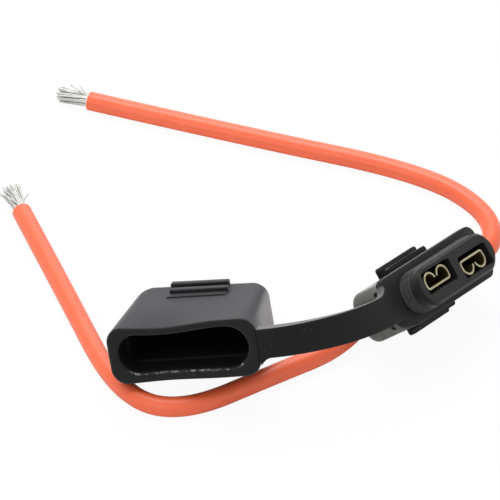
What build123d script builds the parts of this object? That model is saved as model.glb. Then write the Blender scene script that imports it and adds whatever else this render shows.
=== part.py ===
from build123d import *
import os
from math import radians, tan

# Blade fuse that the holder takes
fuse_width = 19.1
fuse_thickness = 5.1
blade_width = 5.2
blade_thickness = 0.65
blade_pitch = 9.5

# Leads
lead_diameter = 3.2
core_diameter = 1.85
bare_length = 5.6
core_seat = 2.0
seat_squeeze = 0.25

# Terminals, each folded from one strip
strip = 0.32
blade_side_gap = 0.25
receptacle_height = 2.7
receptacle_length = 6.0
mouth_setback = 0.6
fold_radius = 0.5
neck_width = 2.2
neck_length = 0.6
core_crimp_length = 2.0
crimp_gap = 0.4
jacket_crimp_length = 1.6
crimp_seam = 0.16
curl_arc = 172
tongue_length = 2.2
tongue_width = 1.4
tongue_lift = 0.55
tongue_setback = 0.8

# Head that the cap seals on, a little above the middle of the collar
head_shift = 0.25
head_length = 20.8
head_width = 6.6
head_height = 4.2
head_edge = 0.45
rib_count = 3
rib_height = 0.15
rib_width = 0.5
rib_pitch = 0.85
cavity_gap = 0.3
cavity_side_gap = 0.7
tongue_room = 0.75
cavity_shoulder = 0.3

# Collar plate round the root of the head
collar_length = 25.8
collar_width = 9.5
collar_thickness = 1.6
collar_corner = 1.7
collar_fit = 0.05

# Block behind the collar
block_overhang = 1.1
block_width = 8.4
block_depth = 7.5
block_corner = 2.2
block_rear_edge = 1.2
grip_length = 10.4
grip_shift = 1.2
grip_heights = (1.1, 1.7)
grip_corner = 0.5
grip_width = 0.9
grip_pitch = 1.8
grip_setback = 3.4
boot_wall = 1.1
boot_length = 1.4
boot_turn_a = -11.2
boot_turn_b = -12.6
bell_depth = 2.1
bell_flare = 0.7
pin_hole_diameter = 0.9
pin_hole_depth = 0.8
pin_hole_setback = 3.3
pin_hole_spread = 5.7

# Cap
rim_length = 23.9
rim_width = 9.5
rim_corner = 2.6
cap_depth = 18.0
cap_end_length = 21.0
cap_end_width = 8.0
cap_end_corner = 1.8
cap_shoulder = 2.4
mouth_gap = 0.1
mouth_floor_gap = 0.4
pocket_side_gap = 0.15
pocket_face_gap = 0.4
end_wall = 1.2
pocket_corner = 1.5
cap_grip_length = 9.4
cap_grip_height = 1.0
cap_fin = 1.3
cap_fin_pitch = 2.6
cap_fin_setback = 0.8
cap_step_height = 0.45
cap_grip_corner = 0.3

# Tether
tether_width = 5.2
tether_root_width = 6.6
tether_root_share = 0.08
tether_at_cap = 1.1
tether_at_collar = -0.8

# Where the collar and the cap's rim lie, with the face of each pointing out along z_dir
body_plane = Plane(
    origin=(21.321, 3.99, 10.576),
    x_dir=(0.5787, 0.796, -0.1775),
    z_dir=(0.6601, -0.3294, 0.6751),
)
cap_plane = Plane(
    origin=(-18.633, -14.398, 10.711),
    x_dir=(0.965, -0.1499, 0.2151),
    z_dir=(-0.2084, -0.9364, 0.2825),
)
head_plane = Plane(
    origin=body_plane.from_local_coords(Vector(0, head_shift, 0)),
    x_dir=body_plane.x_dir,
    z_dir=body_plane.z_dir,
)
mouth_plane = Plane(
    origin=cap_plane.from_local_coords(Vector(0, head_shift, 0)),
    x_dir=cap_plane.x_dir,
    z_dir=cap_plane.z_dir,
)

os.makedirs("parts", exist_ok=True)

# Heights along the head's axis, counted from the front of the collar
block_front = -collar_thickness
block_rear = block_front - block_depth
block_length = collar_length - 2 * block_overhang
boot_rear = block_rear - boot_length
terminal_front = head_height - mouth_setback
receptacle_rear = terminal_front - receptacle_length
core_crimp_front = receptacle_rear - neck_length
core_crimp_rear = core_crimp_front - core_crimp_length
jacket_front = core_crimp_rear - crimp_gap
jacket_crimp_rear = jacket_front - jacket_crimp_length
tongue_root = receptacle_rear + tongue_setback

# Terminal section: the flat floor lies on one side of the blade, the curls press on the other
half_blade = blade_thickness / 2
floor_mid = -half_blade - strip / 2
floor_under = -half_blade - strip
wall_mid = blade_width / 2 + blade_side_gap + strip / 2
curl_top = floor_under + receptacle_height - strip / 2
curl_radius = (wall_mid - strip) / 2
curl_centre = (wall_mid - curl_radius, curl_top - curl_radius)
core_radius = core_diameter / 2
lead_radius = lead_diameter / 2
seat_radius = core_radius - seat_squeeze
lead_offset = floor_under + strip + core_radius
cavity_width = 2 * wall_mid + strip + 2 * cavity_side_gap
cavity_low = floor_under - tongue_room
cavity_high = floor_under + receptacle_height + cavity_gap
cavity_centre = (cavity_low + cavity_high) / 2
crimp_bore_radius = lead_radius + strip + cavity_gap


def route_radii(points):
    radii = []
    for before, corner, after in zip(points, points[1:], points[2:]):
        a = Vector(*before) - Vector(*corner)
        b = Vector(*after) - Vector(*corner)
        turn = 180 - a.get_angle(b)
        radii.append(0.45 * min(a.length, b.length) / tan(radians(turn / 2)))
    return radii


def lead_end(points):
    last, before = Vector(*points[-1]), Vector(*points[-2])
    return Plane(origin=last, z_dir=last - before)


# Lead routes: jacket end in the crimp, boot, then along the floor to the stripped end
lead_a_start = head_plane.from_local_coords(Vector(blade_pitch / 2, -lead_offset, jacket_front))
lead_b_start = head_plane.from_local_coords(Vector(-blade_pitch / 2, lead_offset, jacket_front))
lead_a_route = [
    tuple(lead_a_start),
    tuple(head_plane.from_local_coords(Vector(blade_pitch / 2, -lead_offset, boot_turn_a))),
    (16.2, 16.2, 1.6),
    (21.3, 20.3, 1.6),
    (30.7, 21.4, 1.6),
    (30.9, 32.33, 1.6),
    (20.2, 43.33, 1.6),
    (-9, 53.43, 1.6),
    (-35.4, 63.54, 1.6),
]
lead_b_route = [
    tuple(lead_b_start),
    tuple(head_plane.from_local_coords(Vector(-blade_pitch / 2, lead_offset, boot_turn_b))),
    (5, -1.96, 2),
    (-4, -8.27, 1.6),
    (-19.2, -18.27, 1.6),
    (-29, -12.96, 1.6),
    (-37.7, 11.43, 1.6),
    (-45.6, 32.83, 1.6),
]
lead_a_radii = route_radii(lead_a_route)
lead_b_radii = route_radii(lead_b_route)
print("lead a radii", [round(r, 1) for r in lead_a_radii])
print("lead b radii", [round(r, 1) for r in lead_b_radii])

# Body: one rubber moulding with the head, the block, its grips and the boots
with BuildPart() as body:
    with BuildSketch(head_plane.offset(block_front)):
        SlotOverall(head_length, head_width)
    extrude(amount=collar_thickness + head_height)
    chamfer(body.faces().sort_by(Axis(body_plane.origin, body_plane.z_dir))[-1].edges(), head_edge)
    for n in range(rib_count):
        rib_base = rib_pitch * (n + 0.5)
        with BuildSketch(head_plane.offset(rib_base)):
            SlotOverall(head_length, head_width)
        with BuildSketch(head_plane.offset(rib_base + rib_width / 2)):
            SlotOverall(head_length + 2 * rib_height, head_width + 2 * rib_height)
        with BuildSketch(head_plane.offset(rib_base + rib_width)):
            SlotOverall(head_length, head_width)
        loft(ruled=True)
    with BuildSketch(body_plane.offset(block_front)):
        RectangleRounded(block_length, block_width, block_corner)
    extrude(amount=-block_depth)
    rear = body.faces().sort_by(Axis(body_plane.origin, body_plane.z_dir))[0]
    fillet(rear.edges(), block_rear_edge)
    # Two grip ridges on each wide face, the rear one higher
    for n, grip_height in enumerate(grip_heights):
        with BuildSketch(body_plane.offset(block_front - grip_setback - n * grip_pitch)):
            with Locations((grip_shift, 0)):
                RectangleRounded(grip_length, block_width + 2 * grip_height, grip_corner)
        extrude(amount=-grip_width)
    # Boots round the leads
    for side in (-1, 1):
        boot = head_plane.offset(block_rear)
        with BuildSketch(boot):
            with Locations((side * blade_pitch / 2, -side * lead_offset)):
                Circle(lead_radius + boot_wall)
        extrude(amount=-boot_length)
    # Cavities: a mouth for the receptacle, then a round bore for the crimps
    for side in (-1, 1):
        with BuildSketch(head_plane.offset(head_height)):
            with Locations((side * blade_pitch / 2, -side * cavity_centre)):
                RectangleRounded(cavity_width, cavity_high - cavity_low, fold_radius)
        extrude(amount=receptacle_rear - cavity_shoulder - head_height, mode=Mode.SUBTRACT)
        with BuildSketch(head_plane.offset(receptacle_rear)):
            with Locations((side * blade_pitch / 2, -side * lead_offset)):
                Circle(crimp_bore_radius)
        extrude(amount=jacket_crimp_rear - receptacle_rear, mode=Mode.SUBTRACT)
    # Lead bores, each with a bell mouth where the lead bends out of its boot
    for side in (-1, 1):
        bore_centre = (side * blade_pitch / 2, -side * lead_offset)
        with BuildSketch(head_plane.offset(jacket_crimp_rear)):
            with Locations(bore_centre):
                Circle(lead_radius)
        extrude(amount=boot_rear - jacket_crimp_rear, mode=Mode.SUBTRACT)
        with BuildSketch(head_plane.offset(boot_rear + bell_depth)):
            with Locations(bore_centre):
                Circle(lead_radius)
        with BuildSketch(head_plane.offset(boot_rear)):
            with Locations(bore_centre):
                Circle(lead_radius + bell_flare)
        loft(ruled=True, mode=Mode.SUBTRACT)
    # Two pin holes beside the tether, left by the pins that held the terminals in the mould
    end_face = Plane(
        origin=body_plane.from_local_coords(Vector(-block_length / 2, 0, -pin_hole_setback)),
        x_dir=body_plane.y_dir,
        z_dir=-body_plane.x_dir,
    )
    with BuildSketch(end_face):
        with Locations((-pin_hole_spread / 2, 0), (pin_hole_spread / 2, 0)):
            Circle(pin_hole_diameter / 2)
    extrude(amount=-pin_hole_depth, mode=Mode.SUBTRACT)
body.part.label = "body"
export_step(body.part, "parts/body.step")

# Terminal: B-shaped receptacle, neck, core crimp and jacket crimp, with a locking tongue
terminal_plane = Plane(
    origin=head_plane.from_local_coords(Vector(-blade_pitch / 2, 0, 0)),
    x_dir=body_plane.x_dir,
    z_dir=body_plane.z_dir,
)
with BuildPart() as terminal_b:
    with BuildSketch(terminal_plane.offset(terminal_front)):
        with BuildLine():
            Line((-wall_mid + fold_radius, floor_mid), (wall_mid - fold_radius, floor_mid))
            for side in (-1, 1):
                RadiusArc(
                    (side * (wall_mid - fold_radius), floor_mid),
                    (side * wall_mid, floor_mid + fold_radius),
                    -side * fold_radius,
                )
                Line((side * wall_mid, floor_mid + fold_radius), (side * wall_mid, curl_centre[1]))
                centre = (side * curl_centre[0], curl_centre[1])
                CenterArc(centre, curl_radius, 90 - 90 * side, side * curl_arc)
        trace(line_width=strip)
    extrude(amount=-receptacle_length)
    with BuildSketch(terminal_plane.offset(receptacle_rear)):
        with Locations((0, floor_mid)):
            Rectangle(neck_width, strip)
    extrude(amount=-(receptacle_rear - jacket_crimp_rear))
    for front, length, inner in (
        (core_crimp_front, core_crimp_length, core_radius),
        (jacket_front, jacket_crimp_length, lead_radius),
    ):
        with BuildSketch(terminal_plane.offset(front)):
            with Locations((0, lead_offset)):
                Circle(inner + strip)
        extrude(amount=-length)
    with BuildSketch(terminal_plane.offset(core_crimp_front)):
        with Locations((0, lead_offset)):
            Circle(core_radius)
        with Locations((0, lead_offset + core_radius + strip)):
            Rectangle(crimp_seam, 3 * strip)
    extrude(amount=-core_crimp_length, mode=Mode.SUBTRACT)
    with BuildSketch(terminal_plane.offset(core_crimp_rear)):
        with Locations((0, lead_offset)):
            Circle(core_radius)
    extrude(amount=-crimp_gap, mode=Mode.SUBTRACT)
    with BuildSketch(terminal_plane.offset(jacket_front)):
        with Locations((0, lead_offset)):
            Circle(lead_radius)
        with Locations((0, lead_offset + lead_radius + strip)):
            Rectangle(crimp_seam, 3 * strip)
    extrude(amount=-jacket_crimp_length, mode=Mode.SUBTRACT)
    # Locking tongue, bent out of the floor towards the mouth
    tongue_plane = Plane(
        origin=terminal_plane.origin,
        x_dir=terminal_plane.z_dir,
        z_dir=terminal_plane.x_dir,
    )
    with BuildSketch(tongue_plane):
        with BuildLine():
            Line((tongue_root, floor_mid), (tongue_root + tongue_length, floor_mid - tongue_lift))
        trace(line_width=strip)
    extrude(amount=tongue_width / 2, both=True)
terminal_b.part.label = "terminal_b"
export_step(terminal_b.part, "parts/terminal_b.step")

# The second terminal is turned half a turn about the head's axis
with BuildPart() as terminal_a:
    add(terminal_b.part.rotate(Axis(head_plane.origin, head_plane.z_dir), 180))
terminal_a.part.label = "terminal_a"
export_step(terminal_a.part, "parts/terminal_a.step")


def jacket_bore(end):
    with BuildSketch(end) as bore:
        Circle(seat_radius)
    extrude(bore.sketch, amount=-core_seat, mode=Mode.SUBTRACT)


def conductor_end(end, length):
    with BuildSketch(end.offset(-core_seat)) as seated:
        Circle(seat_radius)
    extrude(seated.sketch, amount=core_seat)
    with BuildSketch(end) as bare:
        Circle(core_radius)
    extrude(bare.sketch, amount=length)


# Leads: a jacket with a bore at each end, where the conductor shows
with BuildPart() as jacket_a:
    with BuildLine() as jacket_a_line:
        FilletPolyline(*lead_a_route, radius=lead_a_radii)
    with BuildSketch(Plane(origin=jacket_a_line.line @ 0, z_dir=jacket_a_line.line % 0)):
        Circle(lead_radius)
    sweep()
    jacket_bore(lead_end(lead_a_route))
    jacket_bore(lead_end(lead_a_route[::-1]))
jacket_a.part.label = "jacket_a"
export_step(jacket_a.part, "parts/jacket_a.step")

with BuildPart() as jacket_b:
    with BuildLine() as jacket_b_line:
        FilletPolyline(*lead_b_route, radius=lead_b_radii)
    with BuildSketch(Plane(origin=jacket_b_line.line @ 0, z_dir=jacket_b_line.line % 0)):
        Circle(lead_radius)
    sweep()
    jacket_bore(lead_end(lead_b_route))
    jacket_bore(lead_end(lead_b_route[::-1]))
jacket_b.part.label = "jacket_b"
export_step(jacket_b.part, "parts/jacket_b.step")

# Conductor ends: one in the crimp and one stripped, each squeezed into its jacket
core_in_crimp = crimp_gap + core_crimp_length
with BuildPart() as core_a:
    conductor_end(lead_end(lead_a_route[::-1]), core_in_crimp)
core_a.part.label = "core_a"
export_step(core_a.part, "parts/core_a.step")

with BuildPart() as core_b:
    conductor_end(lead_end(lead_b_route[::-1]), core_in_crimp)
core_b.part.label = "core_b"
export_step(core_b.part, "parts/core_b.step")

with BuildPart() as bare_end_a:
    conductor_end(lead_end(lead_a_route), bare_length)
bare_end_a.part.label = "bare_end_a"
export_step(bare_end_a.part, "parts/bare_end_a.step")

with BuildPart() as bare_end_b:
    conductor_end(lead_end(lead_b_route), bare_length)
bare_end_b.part.label = "bare_end_b"
export_step(bare_end_b.part, "parts/bare_end_b.step")
print("jacket lengths", [round(line.wires()[0].length, 1) for line in (jacket_a_line, jacket_b_line)])

# Collar: the plate that grips the root of the head
with BuildPart() as collar:
    with BuildSketch(body_plane):
        RectangleRounded(collar_length, collar_width, collar_corner)
        with Locations((0, head_shift)):
            SlotOverall(head_length + 2 * collar_fit, head_width + 2 * collar_fit, mode=Mode.SUBTRACT)
    extrude(amount=-collar_thickness)
collar.part.label = "collar"
export_step(collar.part, "parts/collar.step")

# Tether: a flat strap, wider at both roots, from the rim of the cap to the end of the collar
strap_start = cap_plane.from_local_coords(Vector(rim_length / 2, tether_at_cap, -collar_thickness / 2))
strap_end = body_plane.from_local_coords(Vector(-collar_length / 2, tether_at_collar, -collar_thickness / 2))
with BuildPart() as tether:
    with BuildLine(mode=Mode.PRIVATE) as strap_line:
        Spline(strap_start, strap_end, tangents=(cap_plane.x_dir, body_plane.x_dir))
    strap = strap_line.line.edges()[0]
    for share, width in (
        (0, tether_root_width),
        (tether_root_share, tether_width),
        (0.5, tether_width),
        (1 - tether_root_share, tether_width),
        (1, tether_root_width),
    ):
        across = cap_plane.y_dir * (1 - share) + body_plane.y_dir * share
        run = strap % share
        with BuildSketch(Plane(origin=strap @ share, x_dir=across - run * across.dot(run), z_dir=run)):
            Rectangle(width, collar_thickness)
    loft()
tether.part.label = "tether"
export_step(tether.part, "parts/tether.step")

# Cap: rubber shell with a stepped inside and two grip fins on each wide face
cap_side = Plane(origin=cap_plane.origin, x_dir=cap_plane.x_dir, z_dir=-cap_plane.y_dir)
mouth_length = head_length + 2 * rib_height + 2 * mouth_gap
mouth_width = head_width + 2 * rib_height + 2 * mouth_gap
mouth_depth = head_height + mouth_floor_gap
pocket_length = fuse_width + 2 * pocket_side_gap
pocket_width = fuse_thickness + 2 * pocket_face_gap
fin_base = -cap_depth + cap_fin_setback
with BuildPart() as cap:
    with BuildSketch(cap_plane):
        RectangleRounded(rim_length, rim_width, rim_corner)
    with BuildSketch(cap_plane.offset(-cap_depth)):
        RectangleRounded(cap_end_length, cap_end_width, cap_end_corner)
    loft(ruled=True)
    with BuildSketch(cap_side) as front_view:
        with BuildLine():
            Polyline(
                (-rim_length / 2, 0),
                (rim_length / 2, 0),
                (cap_end_length / 2, -cap_depth),
                (-cap_end_length / 2, -cap_depth),
                close=True,
            )
        make_face()
        fillet(front_view.vertices().group_by(Axis.Y)[0], cap_shoulder)
    extrude(amount=rim_width, both=True, mode=Mode.INTERSECT)
    for base, height in (
        (fin_base, cap_grip_height),
        (fin_base + cap_fin_pitch, cap_grip_height),
        (fin_base + cap_fin_pitch + cap_fin, cap_step_height),
    ):
        with BuildSketch(cap_plane.offset(base)):
            RectangleRounded(cap_grip_length, cap_end_width + 2 * height, cap_grip_corner)
        extrude(amount=cap_fin)
    with BuildSketch(mouth_plane):
        SlotOverall(mouth_length, mouth_width)
    extrude(amount=-mouth_depth, mode=Mode.SUBTRACT)
    with BuildSketch(mouth_plane):
        RectangleRounded(pocket_length, pocket_width, pocket_corner)
    extrude(amount=-(cap_depth - end_wall), mode=Mode.SUBTRACT)
cap.part.label = "cap"
export_step(cap.part, "parts/cap.step")

pieces = Compound([body.part, terminal_a.part, terminal_b.part, collar.part, tether.part, cap.part])
box = pieces.bounding_box()
print("rigid box", box.min, box.max)
for name, piece in (("jacket_a", jacket_a), ("jacket_b", jacket_b)):
    print(name, round(piece.part.volume, 1), round(piece.part.bounding_box().min.Z, 2))
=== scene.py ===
import math
import random

import bmesh
import bpy
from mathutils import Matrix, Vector


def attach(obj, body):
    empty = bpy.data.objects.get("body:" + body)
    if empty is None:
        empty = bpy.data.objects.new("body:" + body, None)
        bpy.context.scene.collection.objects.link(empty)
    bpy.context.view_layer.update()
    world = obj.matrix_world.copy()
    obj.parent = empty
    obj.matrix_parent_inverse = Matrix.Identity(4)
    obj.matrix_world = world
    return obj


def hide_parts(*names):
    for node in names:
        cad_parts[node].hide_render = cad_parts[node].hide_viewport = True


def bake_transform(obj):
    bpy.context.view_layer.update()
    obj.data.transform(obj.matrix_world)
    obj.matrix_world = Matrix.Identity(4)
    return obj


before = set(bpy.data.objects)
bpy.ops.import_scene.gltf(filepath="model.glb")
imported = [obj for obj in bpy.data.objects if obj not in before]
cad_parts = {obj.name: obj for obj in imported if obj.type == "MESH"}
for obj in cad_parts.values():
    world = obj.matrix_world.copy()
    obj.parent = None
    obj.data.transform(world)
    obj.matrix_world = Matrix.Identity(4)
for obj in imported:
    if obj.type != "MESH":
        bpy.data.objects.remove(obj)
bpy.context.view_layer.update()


# The holder lies loose on a plain white table, seen from above through a long lens,
# with a broad soft lamp overhead, weaker ones in front and low behind, and a white room around.
look_at = Vector((-0.0084, 0.02494, -0.00015))
camera_distance = 0.7
camera_height = math.radians(38)
lens_pixels = 4326
photo_pixels = 500

camera = bpy.data.objects.new("camera", bpy.data.cameras.new("camera"))
camera.data.sensor_width = 36
camera.data.lens = 36 * lens_pixels / photo_pixels
camera.data.clip_start = 0.01
camera.location = look_at + camera_distance * Vector((0, -math.cos(camera_height), math.sin(camera_height)))
camera.rotation_euler = (math.pi / 2 - camera_height, 0, 0)
bpy.context.scene.collection.objects.link(camera)
bpy.context.scene.camera = camera
bpy.context.scene.view_settings.view_transform = "Standard"


class Shade:
    """One value in a material's node tree, so that shader maths reads as plain sums."""

    def __init__(self, tree, socket=None):
        self.tree = tree
        self.socket = socket

    def node(self, kind, settings=None, inputs=None, output=0):
        made = self.tree.nodes.new(kind)
        for name, value in (settings or {}).items():
            if name == "stops":
                ramp = made.color_ramp.elements
                while len(ramp) < len(value):
                    ramp.new(0.5)
                for stop, (place, level) in zip(ramp, value):
                    stop.position = place
                    stop.color = (level, level, level, 1)
            else:
                setattr(made, name, value)
        for name, value in (inputs or {}).items():
            if isinstance(value, Shade):
                self.tree.links.new(value.socket, made.inputs[name])
            else:
                made.inputs[name].default_value = value
        return Shade(self.tree, made.outputs[output])

    def _math(self, operation, first, second):
        return self.node("ShaderNodeMath", {"operation": operation}, {0: first, 1: second})

    def __add__(self, other):
        return self._math("ADD", self, other)

    __radd__ = __add__

    def __sub__(self, other):
        return self._math("SUBTRACT", self, other)

    def __rsub__(self, other):
        return self._math("SUBTRACT", other, self)

    def __mul__(self, other):
        return self._math("MULTIPLY", self, other)

    __rmul__ = __mul__


def place():
    """A new material's shade, its surface shader and the point on the object."""
    material = bpy.data.materials.new("finish")
    material.use_nodes = True
    surface = material.node_tree.nodes["Principled BSDF"]
    shade = Shade(material.node_tree)
    return material, surface, shade, shade.node("ShaderNodeTexCoord", output="Object")


def join(surface, **links):
    """Links shades to the surface shader's sockets, and sets plain numbers and colours on them."""
    for name, value in links.items():
        socket = surface.inputs[name.replace("_", " ")]
        if isinstance(value, Shade):
            value.tree.links.new(value.socket, socket)
        else:
            socket.default_value = value


def noise(shade, point, scale, detail=3, roughness=0.5):
    return shade.node(
        "ShaderNodeTexNoise",
        inputs={"Vector": point, "Scale": scale, "Detail": detail, "Roughness": roughness},
    )


def blend_colours(shade, share, first, second):
    """The first colour at a share of 0 and the second at 1, each a plain colour or a shade."""
    first, second = (
        colour if isinstance(colour, Shade) else (*colour, 1) for colour in (first, second)
    )
    return shade.node(
        "ShaderNodeMix", {"data_type": "RGBA"}, {"Factor": share, 6: first, 7: second}, output=2
    )


def soft_lamp(name, power, size, at, colour):
    lamp = bpy.data.lights.new(name, "AREA")
    lamp.energy = power
    lamp.color = colour
    lamp.shape = "DISK"
    lamp.size = size
    made = bpy.data.objects.new(name, lamp)
    made.location = look_at + Vector(at)
    made.rotation_euler = (-Vector(at)).to_track_quat("-Z", "Y").to_euler()
    bpy.context.scene.collection.objects.link(made)


soft_lamp("lamp_overhead", 4.2, 0.6, (-0.1, 0.25, 0.7), (1, 1, 1))
soft_lamp("lamp_front", 0.8, 0.5, (-0.35, -0.5, 0.35), (1, 1, 1))
soft_lamp("lamp_behind", 0.8, 0.5, (0.05, 0.8, 0.3), (0.93, 0.96, 1))

room = bpy.data.worlds.new("room")
room.use_nodes = True
bpy.context.scene.world = room
room_shade = Shade(room.node_tree)
seen = room_shade.node("ShaderNodeLightPath", output="Is Camera Ray")
mirrored = room_shade.node("ShaderNodeLightPath", output="Is Glossy Ray")
refracted = room_shade.node("ShaderNodeLightPath", output="Is Transmission Ray")
room_level = 0.55 + 0.45 * (seen + mirrored * (1 - seen) + refracted * (1 - seen))
room.node_tree.links.new(room_level.socket, room.node_tree.nodes["Background"].inputs["Strength"])
room.node_tree.nodes["Background"].inputs["Color"].default_value = (1, 1, 1, 1)

table_mesh = bpy.data.meshes.new("table")
half_table = 3.0
table_mesh.from_pydata(
    [(x * half_table, y * half_table, 0) for x, y in ((-1, -1), (1, -1), (1, 1), (-1, 1))],
    [],
    [(0, 1, 2, 3)],
)
table = bpy.data.objects.new("table", table_mesh)
bpy.context.scene.collection.objects.link(table)
table_paper = bpy.data.materials.new("table_paper")
table_paper.use_nodes = True
paper_tree = table_paper.node_tree
paper_shade = Shade(paper_tree)
paper_tree.nodes["Principled BSDF"].inputs["Base Color"].default_value = (0.86, 0.86, 0.86, 1)
paper_tree.nodes["Principled BSDF"].inputs["Roughness"].default_value = 0.9
white = paper_shade.node("ShaderNodeEmission", inputs={"Color": (1, 1, 1, 1), "Strength": 1.0})
paper_seen = paper_shade.node("ShaderNodeLightPath", output="Is Camera Ray")
paper_mix = paper_tree.nodes.new("ShaderNodeMixShader")
paper_tree.links.new((0.94 * paper_seen).socket, paper_mix.inputs[0])
paper_tree.links.new(paper_tree.nodes["Principled BSDF"].outputs[0], paper_mix.inputs[1])
paper_tree.links.new(white.socket, paper_mix.inputs[2])
paper_tree.links.new(paper_mix.outputs[0], paper_tree.nodes["Material Output"].inputs["Surface"])
table_mesh.materials.append(table_paper)


# The two leads: stranded copper in an orange-red extruded jacket. Each leaves its crimp,
# bends round behind the block and lies on the table to its stripped end.
jacket_width = 0.0032
lead_a_points = [
    (0.020673, 0.009372, 0.005837), (0.016844, 0.011282, 0.001921), (0.0162, 0.0162, 0.0016),
    (0.0213, 0.0203, 0.0016), (0.0307, 0.0214, 0.0016), (0.0309, 0.03233, 0.0016),
    (0.0202, 0.04333, 0.0016), (-0.009, 0.05343, 0.0016), (-0.0354, 0.06354, 0.0016),
]
lead_b_points = [
    (0.0146, 0.00242, 0.008382), (0.0104, 0.0042, 0.0033), (0.0053, -0.0028, 0.0019),
    (-0.004, -0.00827, 0.0016), (-0.0192, -0.01827, 0.0016), (-0.029, -0.01296, 0.0016),
    (-0.0377, 0.01143, 0.0016), (-0.0456, 0.03283, 0.0016),
]


def jacket_finish():
    finish, surface, shade, point = place()
    finish.name = "orange_jacket"
    cloud = noise(shade, point, 110)
    scuff = noise(shade, point, 2600, 2)
    colour = blend_colours(shade, cloud, (0.82, 0.118, 0.038), (0.96, 0.170, 0.070))
    dent = shade.node(
        "ShaderNodeBump", inputs={"Height": scuff * 0.4 + cloud, "Strength": 0.06, "Distance": 0.0004}
    )
    join(surface, Base_Color=colour, Roughness=0.30 + 0.14 * scuff, Normal=dent, Specular_IOR_Level=0.5)
    join(surface, Subsurface_Weight=0.08, Subsurface_Radius=(0.0012, 0.0004, 0.0002), Subsurface_Scale=1.0)
    return finish


def lead_line(name, points):
    """An open smooth curve whose control points are the lead's route."""
    line = bpy.data.curves.new(name, "CURVE")
    line.dimensions = "3D"
    run = line.splines.new("NURBS")
    run.points.add(len(points) - 1)
    for knot, at in zip(run.points, points):
        knot.co = (*at, 1)
    run.order_u = 3
    run.use_endpoint_u = True
    run.resolution_u = 14
    made = bpy.data.objects.new(name, line)
    bpy.context.scene.collection.objects.link(made)
    return made


orange_jacket = jacket_finish()


def lead_jacket(name, points):
    made = lead_line(name, points)
    made.data.bevel_depth = jacket_width / 2
    made.data.bevel_resolution = 8
    made.data.use_fill_caps = True
    made.data.materials.append(orange_jacket)
    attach(made, "holder")
    return made


def cut_finish():
    """The jacket's raw edge, paler where the stripper's blade drew it."""
    finish, surface, shade, point = place()
    finish.name = "cut_jacket"
    drawn = noise(shade, point, 2200, 2)
    colour = blend_colours(shade, drawn, (0.90, 0.48, 0.30), (0.92, 0.74, 0.55))
    join(surface, Base_Color=colour, Roughness=0.6)
    return finish


cut_jacket = cut_finish()
cut_edge_width = 0.00044
cut_edge_knots = 40


def cut_ring(name, points):
    """The small rolled edge round a jacket's stripped end."""
    end, before = Vector(points[-1]), Vector(points[-2])
    along = (end - before).normalized()
    side = along.cross(Vector((0, 0, 1))).normalized()
    up = side.cross(along)
    line = bpy.data.curves.new(name, "CURVE")
    line.dimensions = "3D"
    line.bevel_depth = cut_edge_width / 2
    line.bevel_resolution = 3
    run = line.splines.new("POLY")
    run.points.add(cut_edge_knots - 1)
    run.use_cyclic_u = True
    reach = jacket_width / 2 - cut_edge_width / 2 - 0.00002
    for n, knot in enumerate(run.points):
        turn = 2 * math.pi * n / cut_edge_knots
        knot.co = (*(end + (side * math.cos(turn) + up * math.sin(turn)) * reach), 1)
    made = bpy.data.objects.new(name, line)
    bpy.context.scene.collection.objects.link(made)
    line.materials.append(cut_jacket)
    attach(made, "holder")
    return made


jacket_a = lead_jacket("lead_jacket_a", lead_a_points)
jacket_b = lead_jacket("lead_jacket_b", lead_b_points)
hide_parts("jacket_a")
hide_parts("jacket_b")
cut_a = cut_ring("cut_edge_a", lead_a_points)
cut_b = cut_ring("cut_edge_b", lead_b_points)


# Stripped ends: tinned copper strands, drawn thin and twisted. The jacket's grip is gone,
# so they fan out a little and a stray one bends away.
strand_width = 0.00027
bare_length = 0.0056
bundle_width = 0.0021
strand_knots = 6


def tinned_finish():
    finish, surface, shade, point = place()
    finish.name = "tinned_strand"
    dull = noise(shade, point, 900)
    colour = blend_colours(shade, dull, (0.34, 0.34, 0.31), (0.78, 0.78, 0.75))
    join(surface, Base_Color=colour, Metallic=0.45, Roughness=0.38 + 0.2 * dull)
    return finish


tinned_strand = tinned_finish()


def strand(line, steps):
    """Adds one strand through the points, none of them lower than lying on the table."""
    run = line.splines.new("NURBS")
    run.points.add(len(steps) - 1)
    for knot, at in zip(run.points, steps):
        at.z = max(at.z, strand_width / 2 + 0.00002)
        knot.co = (*at, 1)
    run.order_u = 3
    run.use_endpoint_u = True


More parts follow.
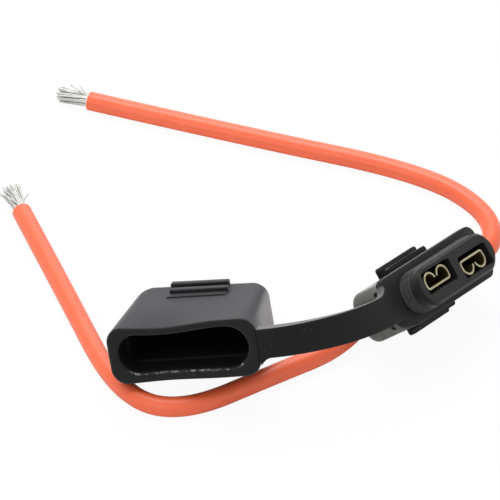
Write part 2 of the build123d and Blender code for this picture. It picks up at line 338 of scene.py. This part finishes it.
def strand_bundle(name, points, seed, spread, stray):
    """Strands from just inside the jacket's end, in four rings round a middle one, and the stray ones.

    A stray strand is given by its share of the bare length, its swing sideways and its lift.
    """
    draw = random.Random(seed)
    end, before = Vector(points[-1]), Vector(points[-2])
    along = (end - before).normalized()
    side = along.cross(Vector((0, 0, 1))).normalized()
    up = side.cross(along)
    line = bpy.data.curves.new(name, "CURVE")
    line.dimensions = "3D"
    line.bevel_depth = strand_width / 2
    line.bevel_resolution = 2
    line.use_fill_caps = True
    for count, share in ((1, 0.0), (6, 0.22), (12, 0.44), (18, 0.66), (24, 0.88)):
        for n in range(count):
            turn = 2 * math.pi * n / count + draw.uniform(-0.14, 0.14)
            reach = share * bundle_width / 2
            length = bare_length * draw.uniform(0.9, 1.05)
            flare = draw.uniform(0.2, 1.0) * spread * (0.3 + share)
            steps = []
            for k in range(strand_knots):
                step = k / (strand_knots - 1)
                twist = turn + 0.7 * step + draw.uniform(-0.12, 0.12) * step
                out = reach + flare * step * step
                steps.append(
                    end + along * (length * step - 0.0006 * (1 - step))
                    + side * math.cos(twist) * out + up * math.sin(twist) * out
                )
            strand(line, steps)
    for reach, swing, lift in stray:
        steps = []
        for k in range(strand_knots):
            step = k / (strand_knots - 1)
            steps.append(
                end + along * (bare_length * reach * step - 0.0005)
                + side * swing * step * step + up * (0.0006 + lift * step)
            )
        strand(line, steps)
    made = bpy.data.objects.new(name, line)
    bpy.context.scene.collection.objects.link(made)
    line.materials.append(tinned_strand)
    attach(made, "holder")
    return made


stray_a = [(0.75, 0.0006, 0.0014), (0.5, 0.0012, 0.0012)]
stray_b = [(0.6, -0.0017, 0.001), (0.45, 0.0018, 0.0012)]
strands_a = strand_bundle("strands_a", lead_a_points, 3, 0.0004, stray_a)
strands_b = strand_bundle("strands_b", lead_b_points, 8, 0.0009, stray_b)
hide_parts("bare_end_a")
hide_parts("bare_end_b")


# Body: black rubber, one moulding that the terminals are pushed into. The skin is satin, with a
# fine grain from the mould, a dusty bloom, rubbed rib ends, and a painted highlight on the block's end.
body_face = Vector((0.021321, 0.00399, 0.010576))
body_out = Vector((0.6601, -0.3294, 0.6751)).normalized()
body_along = Vector((0.5787, 0.796, -0.1775)).normalized()
body_across = body_out.cross(body_along)
body_along = body_across.cross(body_out)
collar_thickness = 0.0016


def height_along(shade, point, axis, origin, low, high):
    """0 below low and 1 above high, measured along an axis from the origin."""
    reach = shade.node(
        "ShaderNodeVectorMath", {"operation": "DOT_PRODUCT"}, {0: point, 1: tuple(axis)}, output="Value"
    )
    start = axis.dot(origin)
    return shade.node(
        "ShaderNodeMapRange",
        inputs={"Value": reach, "From Min": start + low, "From Max": start + high},
    )


def patches(shade, point, scale, detail, low, high):
    """Broken patches: 0 where the noise lies under low and 1 where it lies over high."""
    grain = noise(shade, point, scale, detail, 0.7)
    return shade.node("ShaderNodeValToRGB", {"stops": [(low, 0.0), (high, 1.0)]}, {"Fac": grain})


def rubber_finish(
    name, gloss, dust=0.3, rear=False, painted_highlight_side=None, haze=0.25, haze_tint=(0.85, 0.9, 1.0)
):
    """Black satin rubber. With rear, the body's rib ends are rubbed grey and the block's end is painted
    paler as a highlight; a painted highlight band on one side is given by two height bands.
    """
    finish, surface, shade, point = place()
    finish.name = name
    bloom = noise(shade, point, 140, 4, 0.6)
    fine = noise(shade, point, 5200, 2)
    speck = patches(shade, point, 1500, 3, 0.66, 0.74)
    colour = blend_colours(shade, bloom, (0.0035, 0.0035, 0.0035), (0.008, 0.008, 0.0081))
    colour = blend_colours(shade, speck * dust, colour, (0.11, 0.11, 0.105))
    dull = gloss + 0.12 * bloom + 0.06 * fine
    if rear:
        front = height_along(
            shade, point, body_out, body_face, -1.4 * collar_thickness, -collar_thickness
        )
        behind = 1 - front
        # Painted highlight: the block's end behind the collar is painted paler grey, broken up by noise, for
        # the light it catches.
        end = behind * (1 - height_along(shade, point, body_along, body_face, -0.0115, -0.0085))
        patch = noise(shade, point, 420, 4, 0.65)
        colour = blend_colours(shade, end * (0.2 + 1.0 * patch), colour, (0.17, 0.175, 0.16))
        dull = dull * (1 - behind) + 0.2 * behind
        ribs = height_along(shade, point, body_out, body_face, 0.0001, 0.0004)
        ribs = ribs * (1 - height_along(shade, point, body_out, body_face, 0.0022, 0.0027))
        rib_end = ribs * (1 - height_along(shade, point, body_along, body_face, -0.0100, -0.0088))
        rubbed = patches(shade, point, 1100, 4, 0.56, 0.66)
        colour = blend_colours(shade, rib_end * (0.25 + 0.6 * rubbed), colour, (0.10, 0.10, 0.098))
    # Painted highlight: a band on one side of the piece is painted pale grey.
    if painted_highlight_side is not None:
        first, second = painted_highlight_side
        side = height_along(shade, point, *first) * height_along(shade, point, *second)
        colour = blend_colours(shade, side * (0.5 + 0.7 * bloom), colour, (0.24, 0.24, 0.24))
    dent = shade.node("ShaderNodeBump", inputs={"Height": fine, "Strength": 0.1, "Distance": 0.00012})
    join(surface, Base_Color=colour, Roughness=dull, Normal=dent, Specular_IOR_Level=0.12)
    join(surface, Sheen_Weight=haze, Sheen_Roughness=0.5, Sheen_Tint=(*haze_tint, 1))
    return finish


def dress(node, finish):
    """Gives a carried-over piece its finish."""
    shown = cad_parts[node]
    for slot in shown.material_slots:
        slot.material = finish
    if not shown.material_slots:
        shown.data.materials.append(finish)


warm_haze = (1.0, 0.99, 0.95)
body_rubber = rubber_finish("body_rubber", 0.34, rear=True, haze=0.17, haze_tint=warm_haze)
dress("body", body_rubber)


# Terminals: thin brass strip, plated pale, folded into a B that springs on the fuse's blade.
# The plating is bright on the cut edge, and inside the folds the warm brass is painted dark as shade.
terminal_front = 0.0036


def plated_brass():
    finish, surface, shade, point = place()
    finish.name = "plated_brass"
    worn = noise(shade, point, 700, 4, 0.6)
    # Painted shade: the walls inside the folds are painted dark over the brass's warm colour.
    shaded_wall = blend_colours(shade, worn, (0.12, 0.09, 0.02), (0.26, 0.21, 0.07))
    edge = height_along(shade, point, body_out, body_face, terminal_front - 0.0003, terminal_front - 0.00005)
    bright = blend_colours(shade, worn, (0.21, 0.17, 0.08), (0.66, 0.61, 0.42))
    colour = blend_colours(shade, edge, shaded_wall, bright)
    scratch = noise(shade, point, 4200, 2)
    dent = shade.node("ShaderNodeBump", inputs={"Height": scratch, "Strength": 0.08, "Distance": 0.0001})
    join(surface, Base_Color=colour, Metallic=0.9, Roughness=0.26 + 0.2 * worn, Normal=dent)
    return finish


terminal_brass = plated_brass()
dress("terminal_a", terminal_brass)
dress("terminal_b", terminal_brass)
dress("core_a", tinned_strand)
dress("core_b", tinned_strand)


# Cap: one soft rubber shell that pushes over the fuse and onto the ribbed head.
# Its long walls have warped in a little at the mouth, and the lower lip carries a painted highlight in
# broken grey patches.
cap_face = Vector((-0.018633, -0.014398, 0.010711))
cap_along = Vector((0.965, -0.1499, 0.2151)).normalized()
cap_out = Vector((-0.2084, -0.9364, 0.2825)).normalized()
cap_across = cap_out.cross(cap_along)
cap_along = cap_across.cross(cap_out)
rim_length, rim_width, rim_corner = 0.0239, 0.0095, 0.0026
end_length, end_width, end_corner = 0.0210, 0.0080, 0.0018
cap_depth = 0.0180
cap_shoulder = 0.0024
cap_edge = 0.0007
lip = 0.0003
mouth_length, mouth_width, mouth_depth = 0.0208, 0.0068, 0.0046
head_shift = 0.00025
pocket_length, pocket_width, pocket_corner = 0.0194, 0.0059, 0.0015
pocket_depth = 0.0168
warp_top, warp_bottom = 0.0006, 0.00025
warp_centre, warp_reach, warp_depth = -0.0031, 0.0095, 0.0075
twist = 0.03
ring_steps = 26
shoulder_steps, wall_steps, lip_steps, mouth_steps, pocket_steps = 8, 12, 4, 5, 7


def rounded_ring(length, width, corner):
    """Points round a rounded rectangle, as many for every one. The corner is one size or four."""
    corners = corner if isinstance(corner, tuple) else (corner,) * 4
    sizes = [min(size, width / 2 - 0.00001) for size in corners]
    signs = ((1, 1), (-1, 1), (-1, -1), (1, -1))

    def at(number, turn):
        (along, across), size = signs[number], sizes[number]
        return (
            along * (length / 2 - size) + size * math.cos(turn),
            across * (width / 2 - size) + size * math.sin(turn),
        )

    ring = []
    for number in range(4):
        for k in range(ring_steps // 2):
            ring.append(at(number, math.pi / 2 * (number + k / (ring_steps // 2 - 1))))
        start, stop = ring[-1], at((number + 1) % 4, math.pi / 2 * (number + 1))
        for k in range(1, ring_steps):
            share = k / ring_steps
            ring.append(tuple(low + (high - low) * share for low, high in zip(start, stop)))
    return ring


def cap_point(x, y, depth):
    """A point of the cap where it lies, its walls warped in at the mouth and its far end twisted."""
    reach = min(1.0, abs(x - warp_centre) / warp_reach)
    fade = max(0.0, 1 - depth / warp_depth) ** 1.5
    dip = math.cos(math.pi / 2 * reach) ** 2 * fade
    y -= (warp_top if y > 0 else -warp_bottom) * dip * min(1.0, abs(y) / (pocket_width / 2))
    y -= (x - end_length / 2) * twist * depth / cap_depth
    return cap_face + cap_along * x + cap_across * y - cap_out * depth


def cap_rings():
    """Rings from the closed end along the walls, over the lip and in to the pocket's floor.

    Also gives the number of the first ring inside the lip.
    """
    rings = []

    def ring(length, width, corner, depth, rise=0.0):
        rings.append([cap_point(x, y + rise, depth) for x, y in rounded_ring(length, width, corner)])

    def outer(depth, cut=0.0, ease=0.0):
        share = depth / cap_depth
        ring(
            rim_length + (end_length - rim_length) * share - 2 * cut,
            rim_width + (end_width - rim_width) * share - 2 * ease,
            rim_corner + (end_corner - rim_corner) * share,
            depth,
        )

    for share in (0.35, 0.7):
        flat_length, flat_width = end_length - 2 * cap_shoulder, end_width - 2 * cap_edge
        ring(flat_length * share, flat_width * share, end_corner, cap_depth)
    for k in range(shoulder_steps + 1):
        turn = math.pi / 2 * k / shoulder_steps
        rise = cap_shoulder * (1 - math.cos(turn))
        edge = cap_edge * (1 - math.sin(min(1.0, rise / cap_edge) * math.pi / 2))
        outer(cap_depth - rise, cut=cap_shoulder * (1 - math.sin(turn)), ease=edge)
    wall_start, wall_stop = cap_depth - cap_shoulder, 0.0008
    for k in range(1, wall_steps + 1):
        outer(wall_start + (wall_stop - wall_start) * k / wall_steps)
    for k in range(lip_steps + 1):
        turn = math.pi / 2 * k / lip_steps
        outer(lip * (1 - math.sin(turn)), cut=lip * (1 - math.cos(turn)), ease=lip * (1 - math.cos(turn)))
    first_inside = len(rings)
    for k in range(lip_steps + 1):
        turn = math.pi / 2 * k / lip_steps
        grow = 2 * lip * (1 - math.sin(turn))
        ring(mouth_length + grow, mouth_width + grow, rim_width, lip * (1 - math.cos(turn)), head_shift)
    for k in range(1, mouth_steps + 1):
        depth = lip + (mouth_depth - lip) * k / mouth_steps
        ring(mouth_length, mouth_width, rim_width, depth, head_shift)
    for k in range(pocket_steps + 1):
        depth = mouth_depth + (pocket_depth - mouth_depth) * k / pocket_steps
        ring(pocket_length, pocket_width, pocket_corner, depth, head_shift)
    ring(pocket_length * 0.6, pocket_width * 0.6, pocket_corner, pocket_depth, head_shift)
    return rings, first_inside


def skin(built, rings, hoop=False):
    """Joins rings of points into a closed skin and returns its rings of faces. A hoop has no ends."""
    made = [[built.verts.new(at) for at in ring] for ring in rings]
    bands = []
    for first, second in zip(made, made[1:] + made[:1] if hoop else made[1:]):
        count = len(first)
        bands.append([
            built.faces.new((first[n], first[(n + 1) % count], second[(n + 1) % count], second[n]))
            for n in range(count)
        ])
    if not hoop:
        built.faces.new(list(reversed(made[0])))
        built.faces.new(made[-1])
    return bands


def rubber_bar(built, x, y, depth, size, edge):
    """A small bar with rounded edges, set on the cap by its middle."""
    bar = bmesh.ops.create_cube(built, size=1.0)["verts"]
    bmesh.ops.scale(built, vec=size, verts=bar)
    edges = list({e for v in bar for e in v.link_edges})
    rounded = bmesh.ops.bevel(built, geom=edges + bar, offset=edge, segments=3, profile=0.5, affect="EDGES")
    points = {v for v in rounded["verts"]} | {v for v in bar if v.is_valid}
    for v in points:
        v.co = cap_point(x + v.co.x, y, depth - v.co.z) + cap_across * v.co.y


def mesh_piece(name, built, finishes, body):
    bmesh.ops.recalc_face_normals(built, faces=built.faces)
    mesh = bpy.data.meshes.new(name)
    built.to_mesh(mesh)
    built.free()
    for face in mesh.polygons:
        face.use_smooth = True
    mesh.set_sharp_from_angle(angle=math.radians(40))
    for finish in finishes:
        mesh.materials.append(finish)
    made = bpy.data.objects.new(name, mesh)
    bpy.context.scene.collection.objects.link(made)
    if body:
        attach(made, body)
    return made


def lip_highlight_finish():
    """A painted highlight: rubber painted grey in broken patches."""
    finish, surface, shade, point = place()
    finish.name = "lip_highlight_rubber"
    patch = patches(shade, point, 900, 4, 0.50, 0.62)
    colour = blend_colours(shade, patch, (0.008, 0.008, 0.008), (0.30, 0.30, 0.29))
    join(surface, Base_Color=colour, Roughness=0.34 + 0.2 * patch, Specular_IOR_Level=0.2)
    return finish


def hidden_finish():
    """The untouched black of the cap's inside."""
    finish, surface, shade, point = place()
    finish.name = "inner_rubber"
    colour = blend_colours(shade, noise(shade, point, 300), (0.008, 0.008, 0.008), (0.015, 0.015, 0.015))
    join(surface, Base_Color=colour, Roughness=0.5, Specular_IOR_Level=0.08)
    return finish


# The pale band at the cap's end, behind the rim, is a painted highlight for the glossy strip that light
# makes there.
cap_side = cap_along - cap_out * (rim_length - end_length) / 2 / cap_depth
cap_highlight_band = (cap_side, cap_face, rim_length / 2 - 0.0006, rim_length / 2)
behind_rim = (-cap_out, cap_face, 0.002, 0.006)
cap_rubber = rubber_finish("cap_rubber", 0.36, painted_highlight_side=(cap_highlight_band, behind_rim))
cap_shape = bmesh.new()
rings, first_inside = cap_rings()
# The grey patches on the lower lip are a painted highlight where its rounded edge catches the light.
highlight_below, highlight_before = -0.0025, 0.0095
for number, band in enumerate(skin(cap_shape, rings)):
    if number >= first_inside + lip_steps:
        for face in band:
            face.material_index = 2
    elif first_inside <= number < first_inside + lip_steps - 1:
        for face in band:
            middle = face.calc_center_median() - cap_face
            if middle.dot(cap_across) < highlight_below and middle.dot(cap_along) < highlight_before:
                face.material_index = 1
fin_length, fin_height, fin, fin_pitch, fin_setback = 0.0094, 0.0016, 0.0013, 0.0026, 0.0008
fin_stand, fin_edge, fin_shifts = 0.0010, 0.00022, (-0.0002, 0.0002)
step_stand, step_edge = 0.00045, 0.0001
for side in (-1, 1):
    for number, shift in enumerate(fin_shifts):
        depth = cap_depth - fin_setback - fin / 2 - number * fin_pitch
        middle = side * (end_width / 2 + fin_stand - fin_height / 2)
        rubber_bar(cap_shape, shift, middle, depth, (fin_length, fin_height, fin), fin_edge)
    step_depth = cap_depth - fin_setback - 1.5 * fin - fin_pitch
    step_middle = side * (end_width / 2 + step_stand - fin_height / 2)
    rubber_bar(cap_shape, 0, step_middle, step_depth, (fin_length, fin_height, fin), step_edge)
cap = mesh_piece("cap_shell", cap_shape, [cap_rubber, lip_highlight_finish(), hidden_finish()], "cap_body")
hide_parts("cap")


# Collar: the flat plate round the root of the head, one moulding with the tether. Its edges are
# eased, the corner under the tether is cut back more, and its end carries a painted highlight band.
collar_length, collar_width, collar_corner = 0.0258, 0.0095, 0.0017
lower_corner = 0.0036
collar_trim, collar_ease = 0.0005, 0.0002
head_length, head_width, head_gap = 0.0208, 0.0066, 0.00005


def collar_rings():
    """Rings from the eased front edge back over the plate's rim, and forward inside it round the head."""
    rings = []

    def ring(length, width, corner, depth, rise):
        rings.append([
            body_face + body_along * x + body_across * (y + rise) - body_out * depth
            for x, y in rounded_ring(length, width, corner)
        ])

    corners = (collar_corner, collar_corner, lower_corner, collar_corner)
    plate_width = collar_width - collar_trim
    for depth, cut in ((0.0, 1), (collar_ease * 0.3, 0.3), (collar_ease, 0), (collar_thickness, 0)):
        ring(
            collar_length - 2 * cut * collar_ease,
            plate_width - 2 * cut * collar_ease,
            corners,
            depth,
            collar_trim / 2,
        )
    for depth in (collar_thickness, 0.0):
        ring(head_length + 2 * head_gap, head_width + 2 * head_gap, head_width, depth, head_shift)
    return rings


# The pale band along the collar's end, above the tether, is a painted highlight on the edge.
collar_end = (-body_along, body_face, collar_length / 2 - 0.0003, collar_length / 2)
above_tether = (body_across, body_face, 0.0005, 0.0015)
collar_rubber = rubber_finish(
    "collar_rubber", 0.38, painted_highlight_side=(collar_end, above_tether), haze=0.15, haze_tint=warm_haze
)
collar_shape = bmesh.new()
skin(collar_shape, collar_rings(), hoop=True)
collar = mesh_piece("collar_plate", collar_shape, [collar_rubber], "holder")
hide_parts("collar")


# Mould seam: a hair of flash where the mould's halves met. It is part of the cap's rubber, and
# runs round both ends of the rim and back along the cap's sides.
seam_line = bpy.data.curves.new("cap_seam", "CURVE")
seam_line.dimensions = "3D"
seam_line.bevel_depth = 0.00004
seam_line.bevel_resolution = 2
for sign in (-1, 1):
    run = seam_line.splines.new("POLY")
    path = [(mouth_length / 2 + lip, 0.0), (rim_length / 2 - lip, 0.0), (rim_length / 2 - 0.00003, lip)]
    for depth in (0.004, 0.009, 0.015):
        path.append((rim_length / 2 - (rim_length - end_length) / 2 * depth / cap_depth, depth))
    run.points.add(len(path) - 1)
    for knot, (x, depth) in zip(run.points, path):
        knot.co = (*cap_point(sign * x, 0.0, depth), 1)
seam = bpy.data.objects.new("cap_seam", seam_line)
bpy.context.scene.collection.objects.link(seam)
seam_line.materials.append(cap_rubber)
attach(seam, "cap_body")


# Tether: the flat strap of the same rubber that keeps the cap with the body. It is moulded
# flat, eases into both roots and stays bent as it was left.
cap_root = Vector((-0.007109, -0.015091, 0.014084))
collar_root = Vector((0.013711, -0.006421, 0.011753))
strap_start = cap_root - cap_across * 0.00075
strap_end = collar_root + body_across * 0.0009 + body_along * 0.0005
strap_width = 0.0048
cap_root_drop, collar_root_rise = 0.0011, 0.0012
cap_root_share, collar_root_share = 0.07, 0.09
cap_root_thickness, collar_root_thickness = 0.0018, 0.0017
strap_steps = 72
strap_corner = 0.00018


def strap_section(width, thickness, shift):
    """A rectangle with eased corners, as points across and through the strap."""
    corners = []
    for across, through, first in ((1, 1, 0), (-1, 1, 1), (-1, -1, 2), (1, -1, 3)):
        for k in range(4):
            turn = math.pi / 2 * (first + k / 3)
            corners.append((
                across * (width / 2 - strap_corner) + strap_corner * math.cos(turn) + shift,
                through * (thickness / 2 - strap_corner) + strap_corner * math.sin(turn),
            ))
    return corners


def strap_rings():
    """Sections along a smooth bend that leaves the cap and meets the collar square to each."""
    span = (strap_end - strap_start).length
    rings = []
    for k in range(strap_steps + 1):
        t = k / strap_steps
        near, far = 2 * t**3 - 3 * t**2 + 1, 3 * t**2 - 2 * t**3
        leave, meet = t**3 - 2 * t**2 + t, t**3 - t**2
        at = strap_start * near + strap_end * far + span * (cap_along * leave + body_along * meet)
        slope = (strap_end - strap_start) * (6 * t - 6 * t**2)
        slope += span * (cap_along * (3 * t**2 - 4 * t + 1) + body_along * (3 * t**2 - 2 * t))
        slope.normalize()
        across = cap_across.lerp(body_across, t)
        across = (across - slope * across.dot(slope)).normalized()
        through = slope.cross(across)
        drop = cap_root_drop * max(0.0, 1 - t / cap_root_share) ** 2
        rise = collar_root_rise * max(0.0, 1 - (1 - t) / collar_root_share) ** 2
        thickness = cap_root_thickness + (collar_root_thickness - cap_root_thickness) * t
        section = strap_section(strap_width + drop + rise, thickness, (rise - drop) / 2)
        rings.append([at + across * u + through * v for u, v in section])
    return rings


def edge_highlight_finish():
    """The strap's upper edge, painted paler in patches as a highlight where the light falls on it."""
    finish, surface, shade, point = place()
    finish.name = "edge_highlight_rubber"
    edge_patches = noise(shade, point, 900, 4, 0.7)
    colour = blend_colours(shade, edge_patches, (0.05, 0.05, 0.049), (0.20, 0.20, 0.195))
    join(surface, Base_Color=colour, Roughness=0.45)
    return finish


tether_rubber = rubber_finish("tether_rubber", 0.36, dust=0.6, haze=0.15, haze_tint=warm_haze)
strap_shape = bmesh.new()
# The upper edge's faces take the painted highlight finish.
upper_edge = (14, 15)
for band in skin(strap_shape, strap_rings()):
    for number in upper_edge:
        band[number].material_index = 1
tether = mesh_piece("tether_strap", strap_shape, [tether_rubber, edge_highlight_finish()], None)
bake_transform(tether)
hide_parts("tether")
